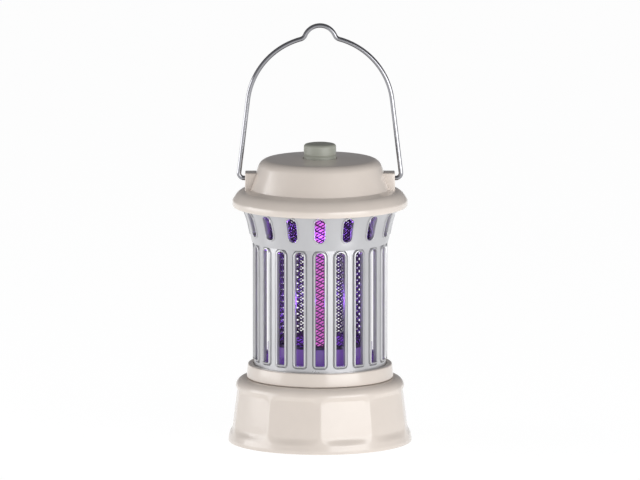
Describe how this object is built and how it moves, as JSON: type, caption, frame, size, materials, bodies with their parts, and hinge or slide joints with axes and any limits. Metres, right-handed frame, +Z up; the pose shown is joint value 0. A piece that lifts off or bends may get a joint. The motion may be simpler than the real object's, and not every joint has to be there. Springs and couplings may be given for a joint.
{
  "type": "lantern-style electric bug zapper",
  "caption": "Round lantern bug zapper: faceted insect base, slotted cage around a violet lamp and grids, brimmed cap with push button, swinging wire handle.",
  "frame": {"origin": "centre of the footprint, on the floor", "axes": "+Z up the lantern's axis, +X along the handle's pivot axis; the front, where the charging inlet is not, faces -Y"},
  "size_m": [0.1104, 0.1104, 0.2537],
  "materials": {
    "shell_cream": "satin",
    "cover_cream": "matt",
    "cage_silver": "satin",
    "rubber_grey": "matt",
    "steel_screw": "zinc plated",
    "carrier_dark": "matt",
    "grid_steel": "drawn",
    "lamp_violet": "clear tint",
    "holder_white": "satin",
    "led_emitter": "clear",
    "board_white": "solder mask",
    "board_green": "solder mask",
    "lead_red": "insulation",
    "winding_tape": "tape",
    "capacitor_blue": "sleeve",
    "parts_black": "moulded",
    "cell_wrap": "shrink wrap",
    "socket_steel": "plated",
    "button_grey": "satin",
    "handle_chrome": "polished"
  },
  "bodies": {
    "base": {"base_shell": "shell_cream", "bottom_cover": "cover_cream", "rubber_feet": "rubber_grey", "base_screws": "steel_screw", "insect_tray": "cover_cream"},
    "lantern": {"collar_ring": "shell_cream", "cage": "cage_silver", "lower_grid_carrier": "carrier_dark", "upper_grid_carrier": "carrier_dark", "outer_grid": "grid_steel", "inner_grid": "grid_steel", "carrier_screws": "steel_screw", "lamp_cover": "lamp_violet", "lamp_holder": "holder_white", "holder_screws": "steel_screw", "led_board": "board_white", "uv_leds": "led_emitter", "lamp_leads": "lead_red", "head_plate": "cover_cream", "head_screws": "steel_screw", "top_cap": "shell_cream", "circuit_board": "board_green", "board_screws": "steel_screw", "hv_transformer": "winding_tape", "hv_capacitor": "capacitor_blue", "board_parts": "parts_black", "hv_leads": "lead_red", "battery_cell": "cell_wrap", "battery_holder": "parts_black", "battery_leads": "lead_red", "charge_board": "board_green", "usb_socket": "socket_steel", "tact_switch": "parts_black", "button_spring": "steel_screw"},
    "button": {"power_button": "button_grey"},
    "handle": {"handle": "handle_chrome"}
  },
  "joints": [
    {"name": "lantern_twist", "type": "hinge", "parent": "base", "child": "lantern", "pos_m": [0, 0, 0.04], "axis": [0, 0, 1], "range_deg": [0, 24]},
    {"name": "button_press", "type": "slide", "parent": "lantern", "child": "button", "axis": [0, 0, -1], "range_m": [0, 0.0018], "stiffness_N_per_m": 600, "springref_m": -0.002, "deforming": ["button_spring"]},
    {"name": "handle_swing", "type": "hinge", "parent": "lantern", "child": "handle", "pos_m": [0, 0, 0.1599], "axis": [1, 0, 0], "range_deg": [-108, 108]}
  ]
}
